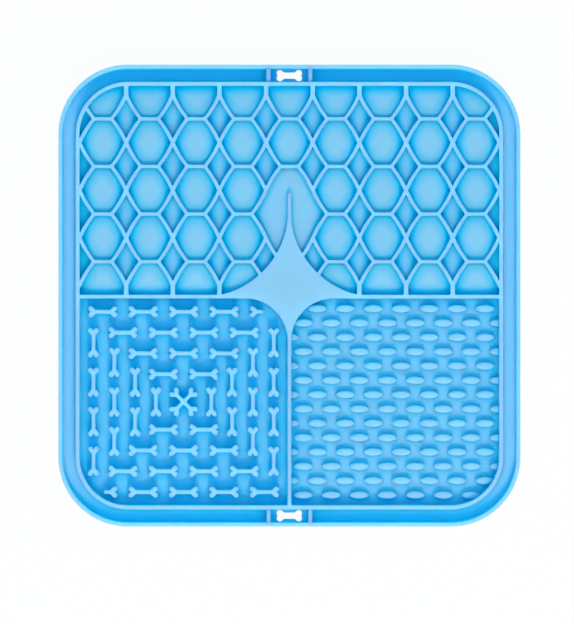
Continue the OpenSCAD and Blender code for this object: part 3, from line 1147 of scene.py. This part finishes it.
@dataclass(frozen=True)
class BoneShape:
    """Outline of a bone with two lobes at each end."""

    length: float
    width: float
    shaft: float
    lobe_r: float
    notch: float
    corner_r: float = 0.35
    drop_to_middle: float = 0.9
    drop_of_radius: float = 0.87
    lobe_end: float = 135.0
    lobe_steps: int = 7
    stub_x: float = 0.5
    stub_share: float = 0.9

    def end(self) -> np.ndarray:
        """The right end: from the shaft's lower side round both lobes to its upper side.

        The upper lobe is an arc. It starts below its own middle, by a share of the way down to
        the bone's middle line or by a share of its radius, whichever is less. From its end a
        taper at 45 degrees leads on to the shaft. The lower lobe mirrors it, and the notch is a
        point between the two.

        Returns:
            The points, in a row that isn't closed.
        """
        centre = (self.length / 2 - self.lobe_r, self.width / 2 - self.lobe_r)
        drop = min(self.drop_to_middle * centre[1] / self.lobe_r, self.drop_of_radius)
        start = -np.degrees(np.arcsin(drop))
        lobe = arc(centre, self.lobe_r, start, self.lobe_end, self.lobe_steps)
        upper = np.concatenate([lobe, [lobe[-1] - (lobe[-1, 1] - self.shaft / 2)]])
        lower = upper[::-1] * np.array([1.0, -1.0])
        return np.concatenate([lower, [[self.length / 2 - self.notch, 0.0]], upper])

    def rounded(self, parts: list) -> np.ndarray:
        """Parts of an outline, joined, with rounded corners."""
        return softened(np.concatenate(parts), self.corner_r, 3)

    def outline(self) -> np.ndarray:
        """The whole bone."""
        return self.rounded([self.end(), -self.end()])

    def half(self) -> np.ndarray:
        """The right half, whose shaft tapers a little and ends blunt near the bone's middle."""
        tip = self.stub_share * self.shaft / 2
        return self.rounded([self.end(), [[self.stub_x, tip], [self.stub_x, -tip]]])

    def crossed(self) -> np.ndarray:
        """Two crossed bones as one outline: four ends, with a corner between each two."""
        arm = np.append(self.end(), [[self.shaft / 2, self.shaft / 2]], 0)
        return self.rounded([turned(arm, 45 + 90 * k) for k in range(4)])


@dataclass
class RaisedBones:
    """The bones of the lower left field: two crossed ones and four rings round them."""

    sizes: MatSizes
    shape: BoneShape = BoneShape(12.6, 4.8, 1.5, 1.05, 1.55)
    crossed_shape: BoneShape = BoneShape(13.9, 4.8, 1.4, 1.0, 1.7, corner_r=0.3)
    rings: int = 4
    first_ring_gap: float = 12.0
    steps_across: int = 10
    pitch_shares: tuple[float, float] = (0.971, 0.949)
    top_round: float = 0.22
    half_top_round: float = 0.18
    foot_round: float = 0.3

    def bones(self, outline: np.ndarray, places: list[tuple[float, float]],
              top_round: float) -> list[Shell]:
        """The same bone, with a rounded top edge and a hollow foot, at several places.

        Args:
            outline: the bone's outline.
            places: x and y of each bone, from the middle of the field.
            top_round: radius of the top edge.

        Returns:
            One shell per place.
        """
        s = self.sizes
        middle_x = -(s.star_side + s.field_half) / 2
        middle_y = (s.divider_down - s.field_half) / 2
        bone = slab([outline], [wall_profile(s.wall_top, s.base_top, top_round, self.foot_round)])
        return [bone.moved(middle_x + x, middle_y + y) for x, y in places]

    def ring(self, number: int) -> Shell:
        """One ring: number + 1 level bones above and below, number upright ones at each side.

        In the last ring, the level bones at the upper right and the lower left end are halves.

        Args:
            number: the ring's number, from the middle outwards.

        Returns:
            The ring.
        """
        step = (self.sizes.field_half - self.sizes.star_side) / self.steps_across
        reach = self.first_ring_gap + (number - 1) * step
        pitch_x, pitch_y = 2 * step * np.array(self.pitch_shares)
        level_x = (np.arange(number + 1) - number / 2) * pitch_x
        upright_y = (np.arange(number) - (number - 1) / 2) * pitch_y
        last = number == self.rings
        whole = level_x[:-1] if last else level_x
        level = [(side * x, side * reach) for side in (-1, 1) for x in whole]
        upright = [(side * reach, y) for side in (-1, 1) for y in upright_y]
        outline = self.shape.outline()
        found = self.bones(outline, level, self.top_round)
        found += self.bones(turned(outline, 90), upright, self.top_round)
        if last:
            half, end = self.shape.half(), level_x[-1]
            found += self.bones(-half, [(end, reach)], self.half_top_round)
            found += self.bones(half, [(-end, -reach)], self.half_top_round)
        return joined(found)

    def build(self, shop: Workshop) -> None:
        """Makes the crossed bones and the rings."""
        crossed = self.bones(self.crossed_shape.crossed(), [(0.0, 0.0)], self.top_round)
        shop.piece("raised_crossed_bones", joined(crossed), ["crossed_bones"])
        for number in range(1, self.rings + 1):
            shop.piece(f"raised_bones_ring_{number}", self.ring(number), [f"bone_ring_{number}"])


@dataclass
class LensNubs:
    """The lens-shaped nubs of the lower right field, in fourteen staggered rows."""

    sizes: MatSizes
    length: float = 8.2
    width: float = 2.7
    blunt: float = 0.24
    power: float = 0.62
    least: float = 1.2
    rows: int = 14
    columns: float = 7.5
    edge_share: float = 0.72
    into_wall: float = 0.6
    stations: int = 8
    profile: tuple[tuple[float, float], ...] = (
        (-0.9, 2.5), (-0.35, 2.46), (-0.1, 2.3), (-0.03, 2.1), (0.07, 0.2), (0.2, 0.0),
        (0.25, -SINK),
    )

    def wall_x(self, y: float) -> float:
        """The x at which the inner wall stands at a given y, with its round corner."""
        s = self.sizes
        past = max(abs(y) - s.corner_middle, 0.0)
        radius = s.field_corner + self.into_wall
        return s.corner_middle + np.sqrt(max(radius**2 - past**2, 0.0))

    def star_x(self, y: float) -> float:
        """The x at which the star's hollow edge, or the short divider, ends at a given y."""
        s = self.sizes
        reach = max(y - (s.divider_down - s.star_hollow_r), 0.0)
        return s.star_side + s.star_hollow_r - np.sqrt(s.star_hollow_r**2 - reach**2)

    def nub(self, x: float, y: float) -> Shell | None:
        """One nub: rings of its almond outline, from the flat crest down to its foot.

        With u from -1 to 1 along the nub, half its width is the full one times (1 - u squared)
        to a power, plus a blunt tip. A ring scales the outline about the nub's middle, so that
        half its length and half its width change by the ring's own distance.

        Args:
            x: the nub's middle.
            y: the row's y.

        Returns:
            The nub, or None if the star or the wall hides it.
        """
        half = self.length / 2
        low = max(x - half, self.star_x(y) - self.into_wall)
        high = min(x + half, self.wall_x(y))
        if high - low < self.least:
            return None
        u = -np.cos(np.linspace(0, np.pi, self.stations))
        half_width = self.width / 2 * (1 - u**2) ** self.power + self.blunt
        outline = np.concatenate([np.stack([u * half, -half_width], 1),
                                  np.stack([u * half, half_width], 1)[::-1]])
        grow, height = np.array(self.profile).T
        rings = outline * (1 + grow[:, None] / np.array([half, self.width / 2]))[:, None]
        rings[..., 0] = np.clip(x + rings[..., 0], low, high)
        rings[..., 1] += y
        count = len(outline)
        first = np.arange(self.stations - 1)
        ladder = np.stack([first, first + 1, count - 2 - first, count - 1 - first], 1)
        under = (len(grow) - 1) * count + ladder[:, ::-1]
        quads = np.concatenate([grid_quads(len(grow), count), ladder, under])
        return Shell(lifted(rings, self.sizes.base_top + height), quads)

    def build(self, shop: Workshop) -> None:
        """Makes the rows; every second one is shifted by half a pitch."""
        s = self.sizes
        pitch_x = s.field_half / self.columns
        pitch_y = (s.field_half + s.divider_down) / (self.rows - 1 + 2 * self.edge_share)
        for row in range(1, self.rows + 1):
            shift = 0.0 if row % 2 else 0.5
            y = s.divider_down - pitch_y * (row - 1 + self.edge_share)
            found = [self.nub((i + shift) * pitch_x, y) for i in range(int(self.columns) + 1)]
            nubs = joined([nub for nub in found if nub is not None])
            shop.piece(f"nubs_row_{row}", nubs, [f"lens_nubs_row_{row}"])


@dataclass
class BaseSheets:
    """The flat base: a sheet under the fields and a floor on each side of the gutter."""

    sizes: MatSizes
    end_x: float = 9.9
    under_wall: float = 0.8
    # Painted light on the gutter floor's sides and painted shade at its ends
    side_painted_light: float = -0.46
    end_painted_shade: float = 0.34

    @property
    def inset(self) -> float:
        """Distance from the mat's edge to the seam, which the inner wall hides."""
        return self.sizes.channel_inset + self.under_wall

    def field_sheet(self) -> Shell:
        """The sheet under the fields."""
        s = self.sizes
        return slab([s.outline(self.inset)], [np.array([[0.0, s.base_top], [0.0, s.cup_h]])])

    def gutter_floor(self, side: Side) -> Shell:
        """Half of the gutter's floor: a flat bar carried along half the mat's outline.

        Painted shade on it grows with the square of the outward normal's y, because the floor lies
        in the walls' shade where the gutter runs across the light; at the sides, where the gutter
        runs along the light, it is painted paler, as painted light. The right half is the left one
        turned by half a circle.

        Args:
            side: the half of the mat.

        Returns:
            The floor.
        """
        s = self.sizes
        middle = s.corner_middle
        path = np.concatenate([
            [[middle, s.half], [-self.end_x, s.half]],
            arc((-middle, middle), s.corner_r, 90, 180, CORNER_STEPS),
            arc((-middle, -middle), s.corner_r, 180, 270, CORNER_STEPS),
            [[-self.end_x, -s.half], [middle, -s.half]],
        ])
        profile = np.array([
            [-self.inset, s.base_top], [-s.rim_t - s.gutter_w / 2, s.base_top],
            [-s.rim_t, s.base_top], [-s.rim_t, s.cup_h], [-self.inset, s.cup_h],
        ])
        rows = len(profile)
        rings = ring_points(path, profile).reshape(rows, len(path), 3)[:, 1:-1]
        count = rings.shape[1]
        share = side_steps(path)[1:-1, 1] ** 2
        painted_shade = self.side_painted_light + (self.end_painted_shade - self.side_painted_light) * share
        quads = grid_quads(rows, count, close_rows=True, close_columns=False)
        # Each end of the bar is closed by triangles from the second of the profile's five points
        end = np.array([[1, 2, 3], [1, 3, 4], [1, 4, 0]]) * count
        caps = np.concatenate([quads[:, :3], quads[:, [0, 2, 3]], end + count - 1, end[:, ::-1]])
        turn = np.array([-side.value, -side.value, 1.0])
        return Shell(rings.reshape(-1, 3) * turn, caps=caps, painted_shade=np.tile(painted_shade, rows))

    def build(self, shop: Workshop) -> None:
        """Makes the sheet and both floors."""
        shop.piece("base_field", self.field_sheet(), ["base_sheet"], FLOOR_SILICONE)
        for side in Side:
            word = side.name.lower()
            shop.piece(f"base_gutter_{word}", self.gutter_floor(side), [f"gutter_floor_{word}"])


@dataclass
class GutterEdge:
    """The outer rim, the gutter's four short ribs and the two pierced hanging tabs.

    Behind the gutter's floor the rim's inner face is upright up to a distance below the floor's
    top, and then runs out to the toe of the hollow foot.
    """

    sizes: MatSizes
    edge_round: float = 0.15
    foot_round: float = 0.3
    foot_toe: float = 0.1
    behind_drop: float = 0.5
    rim_steps: int = 30
    rib_t: float = 1.7
    rib_corner_r: float = 0.6
    rib_rounds: tuple[float, float] = (0.35, 0.5)
    rib_let_in: float = 0.7
    rib_under: float = 0.4
    tab_l: float = 16.4
    tab_steps: int = 3
    hole: BoneShape = BoneShape(11.0, 5.0, 2.7, 1.4, 0.4)

    def outer_edge(self, top: float, steps: int) -> np.ndarray:
        """Profile of an upright face between a rounded top edge and a rounded bottom edge."""
        r, low = self.edge_round, self.sizes.cup_h
        return np.concatenate([
            arc((-r, top - r), r, 90, 0, steps),
            arc((-r, low + r), r, 0, -90, steps),
        ])

    def rim(self) -> Shell:
        """The rim: a closed profile carried round the mat's outline.

        From the flat top it rounds over to the outer face, under the bottom, up the inner face
        behind the gutter floor, out along the hollow foot and up to the top again.

        Returns:
            The rim.
        """
        s = self.sizes
        r, foot, inside, top = self.edge_round, self.foot_round, -s.rim_t, s.rim_top
        toe = inside - foot - self.foot_toe
        profile = np.concatenate([
            [[inside + r + STRIP, top], [-r - STRIP, top]],
            self.outer_edge(top, EDGE_STEPS),
            [[inside, s.cup_h], [inside, s.base_top - self.behind_drop]],
            [[toe, s.base_top - SINK], [toe, s.base_top - DIP]],
            arc((inside - foot, s.base_top + foot), foot, -90, 0, EDGE_STEPS),
            arc((inside + r, top - r), r, 180, 90, EDGE_STEPS),
        ])
        outline = s.outline(steps=self.rim_steps)
        quads = grid_quads(len(profile), len(outline), close_rows=True)
        return Shell(ring_points(outline, profile), quads)

    def ribs(self) -> Shell:
        """The four ribs, let into the rim and the inner wall at both ends."""
        s = self.sizes
        far = s.half - s.rim_t + self.rib_let_in
        near = s.half - s.channel_inset - self.rib_let_in
        left = self.tab_l / 2
        wall = wall_profile(s.rim_top, s.base_top, *self.rib_rounds)
        profile = np.append(wall, [[0.0, s.base_top - self.rib_under], [0.0, s.cup_h]], 0)
        one = softened(rectangle(left, near, left + self.rib_t, far), self.rib_corner_r)
        outlines = [one, mirrored(one), -one, -mirrored(one)]
        return joined([slab([outline], [profile]) for outline in outlines])

    def tab(self, side: int) -> Shell:
        """One tab with its bone-shaped hole, whose edges are rounded above and below."""
        s = self.sizes
        middle = side * (s.half - s.rim_t - s.gutter_w / 2)
        half_w, half_l = s.gutter_w / 2, self.tab_l / 2
        plate = rectangle(-half_l, middle - half_w, half_l, middle + half_w)
        hole = self.hole.outline() + np.array([0.0, middle])
        straight = np.array([[0.0, s.base_top], [0.0, s.cup_h]])
        return slab([plate, hole], [straight, self.outer_edge(s.base_top, self.tab_steps)])

    def build(self, shop: Workshop) -> None:
        """Makes the rim, the ribs and both tabs."""
        shop.piece("rim", self.rim(), ["outer_rim"])
        shop.piece("gutter_rib_set", self.ribs(), ["gutter_ribs"])
        shop.piece("tab_top", self.tab(1), ["hanging_tab_top"])
        shop.piece("tab_bottom", self.tab(-1), ["hanging_tab_bottom"])


@dataclass
class SuctionCups:
    """The sixteen suction cups under the mat."""

    sizes: MatSizes
    margin: float = 31.0
    radius: float = 9.0
    lip_w: float = 1.0
    lip: tuple[tuple[float, float], ...] = ((0.0, 0.3), (0.15, 0.05), (0.4, 0.0))
    edge_h: float = 0.6
    neck_r: float = 3.5
    neck_l: float = 0.5
    wall_t: float = 0.9
    powers: tuple[float, float] = (1.4, 2.2)
    rows: int = 4
    steps: int = 8
    turns: int = 48

    def cup(self) -> Shell:
        """One cup: a profile turned about the z axis, closed at two poles.

        The outside falls from the neck to the lip with a power of the cosine. The inside rises
        towards the pole by one less a power of the radius, as a share of the radius at the lip.

        Returns:
            The cup.
        """
        neck_top = self.sizes.cup_h + SINK
        bell_top = self.sizes.cup_h - self.neck_l
        hollow_top = bell_top - self.wall_t
        outer_power, inner_power = self.powers
        share = np.linspace(0, 1, self.steps)
        out_r = self.neck_r + (self.radius - self.neck_r) * share
        out_z = self.edge_h + (bell_top - self.edge_h) * np.cos(np.pi / 2 * share) ** outer_power
        in_share = (1 - share)[:-1]
        in_r = (self.radius - self.lip_w) * in_share
        in_z = hollow_top * (1 - in_share**inner_power)
        profile = np.concatenate([
            [[self.neck_r, neck_top]],
            np.stack([out_r, out_z], 1),
            [[self.radius - inwards, height] for inwards, height in self.lip],
            np.stack([in_r, in_z], 1),
        ])
        circle = arc((0.0, 0.0), 1.0, 0, 360, self.turns)[:-1]
        rings = lifted(profile[:, None, :1] * circle, profile[:, 1])
        points = np.concatenate([rings, [[0.0, 0.0, neck_top], [0.0, 0.0, hollow_top]]])
        first = np.arange(self.turns)
        last = (len(profile) - 1) * self.turns + first
        fans = np.concatenate([fan(len(rings), first), fan(len(rings) + 1, last[::-1])])
        return Shell(points, grid_quads(len(profile), self.turns), fans)

    def build(self, shop: Workshop) -> None:
        """Makes the rows of cups."""
        cup = self.cup()
        reach = self.sizes.half - self.margin
        places = np.linspace(-reach, reach, self.rows)
        for row, y in enumerate(places, 1):
            cups = joined([cup.moved(x, y) for x in places])
            shop.piece(f"cups_row_{row}", cups, [f"suction_cups_row_{row}"], SMOOTH_SILICONE)


@dataclass
class Studio:
    """Floor, lamps, sky and camera; lamps and floor are measured in metres."""

    sizes: MatSizes
    mm_per_pixel: float = 0.43285
    mat_pixel: tuple[float, float] = (289.4, 295.6)
    camera_height: float = 2400.0
    sensor: float = 36.0
    lamp_watts: tuple[float, float] = (79.0, 9.0)
    lamp_angle: float = 43.5
    lamp_distance: float = 3.0
    lamp_x: float = 0.25
    lamp_size: float = 0.8
    lamp_colour: str = "FFCAA6"
    sky_colour: str = "5ED4F8"
    sky_strength: float = 0.87
    floor_half: float = 3.0
    floor_drop: float = 0.0002
    floor_grey: float = 0.9
    shadow_share: float = 0.04

    def white_rays(self, tree: bpy.types.NodeTree) -> bpy.types.NodeSocket:
        """One where a camera, glossy or transmission ray looks, else nought."""
        path = add_node(tree, "ShaderNodeLightPath").outputs
        found = path["Is Camera Ray"]
        for name in ("Is Glossy Ray", "Is Transmission Ray"):
            found = add_node(tree, "ShaderNodeMath", links={0: found, 1: path[name]},
                             operation="MAXIMUM").outputs[0]
        return found

    def floor(self) -> None:
        """A wide white floor that the camera sees as paper white, with a trace of shadow."""
        half, z = self.floor_half, -self.floor_drop
        corners = [(-half, -half, z), (half, -half, z), (half, half, z), (-half, half, z)]
        mesh = bpy.data.meshes.new("floor")
        mesh.from_pydata(corners, [], [(0, 1, 2, 3)])
        made = bpy.data.materials.new("white_paper")
        tree = emptied(made)
        grey = (self.floor_grey, self.floor_grey, self.floor_grey, 1.0)
        paper = add_node(tree, "ShaderNodeBsdfDiffuse", {"Color": grey}).outputs[0]
        glow = add_node(tree, "ShaderNodeEmission", {"Strength": 1.0}).outputs[0]
        seen = add_node(tree, "ShaderNodeMixShader", {0: self.shadow_share},
                        {1: glow, 2: paper}).outputs[0]
        mixed = add_node(tree, "ShaderNodeMixShader",
                         links={0: self.white_rays(tree), 1: paper, 2: seen}).outputs[0]
        add_node(tree, "ShaderNodeOutputMaterial", links={"Surface": mixed})
        mesh.materials.append(made)
        plane = bpy.data.objects.new("floor", mesh)
        bpy.context.scene.collection.objects.link(plane)

    def sky(self) -> None:
        """A weak, even fill that shows as white behind the mat."""
        world = bpy.data.worlds.new("sky")
        tree = emptied(world)
        looks = {"Color": srgb(self.sky_colour), "Strength": self.sky_strength}
        fill = add_node(tree, "ShaderNodeBackground", looks).outputs[0]
        white = add_node(tree, "ShaderNodeBackground",
                         {"Color": srgb("FFFFFF"), "Strength": 1.0}).outputs[0]
        mixed = add_node(tree, "ShaderNodeMixShader",
                         links={0: self.white_rays(tree), 1: fill, 2: white}).outputs[0]
        add_node(tree, "ShaderNodeOutputWorld", links={"Surface": mixed})
        bpy.context.scene.world = world

    def lamp(self, name: str, watts: float, side: int) -> None:
        """A softbox on the south (-1) or north (1) side, raised by an angle, that faces the mat."""
        light = bpy.data.lights.new(name, "AREA")
        light.energy = watts
        light.color = srgb(self.lamp_colour)[:3]
        light.size = self.lamp_size
        lamp = bpy.data.objects.new(name, light)
        a = np.radians(self.lamp_angle)
        reach = self.lamp_distance * np.cos(a)
        lamp.location = (self.lamp_x, side * reach, self.lamp_distance * np.sin(a))
        lamp.rotation_euler = (-lamp.location).to_track_quat("-Z", "Y").to_euler()
        bpy.context.scene.collection.objects.link(lamp)

    def camera(self) -> None:
        """A camera straight above, whose frame covers the photograph's width and height."""
        seen = max(IMAGE_WIDTH, IMAGE_HEIGHT) * self.mm_per_pixel
        data = bpy.data.cameras.new("overhead")
        data.sensor_width = self.sensor
        data.lens = self.sensor * self.camera_height / seen
        data.clip_start, data.clip_end = 0.01, 20.0
        made = bpy.data.objects.new("overhead", data)
        x = (IMAGE_WIDTH / 2 - self.mat_pixel[0]) * self.mm_per_pixel
        y = (self.mat_pixel[1] - IMAGE_HEIGHT / 2) * self.mm_per_pixel
        made.location = (x * MM, y * MM, (self.sizes.wall_top + self.camera_height) * MM)
        bpy.context.scene.collection.objects.link(made)
        bpy.context.scene.camera = made

    def build(self) -> None:
        """Sets up the studio."""
        self.camera()
        self.floor()
        self.sky()
        self.lamp("south_softbox", self.lamp_watts[0], -1)
        self.lamp("north_softbox", self.lamp_watts[1], 1)
        bpy.context.scene.view_settings.view_transform = "Standard"


def main() -> None:
    """Builds the studio and every sub-assembly in order."""
    logging.basicConfig(level=logging.INFO, format="%(name)s: %(message)s")
    sizes = MatSizes()
    shop = Workshop(sizes)
    cells = Honeycomb(sizes).cells()
    Studio(sizes).build()
    BaseSheets(sizes).build(shop)
    WallLattice(sizes, cells).build(shop)
    CellFloors(cells, sizes.base_top).build(shop)
    RaisedBones(sizes).build(shop)
    LensNubs(sizes).build(shop)
    GutterEdge(sizes).build(shop)
    SuctionCups(sizes).build(shop)


if __name__ == "__main__":
    main()
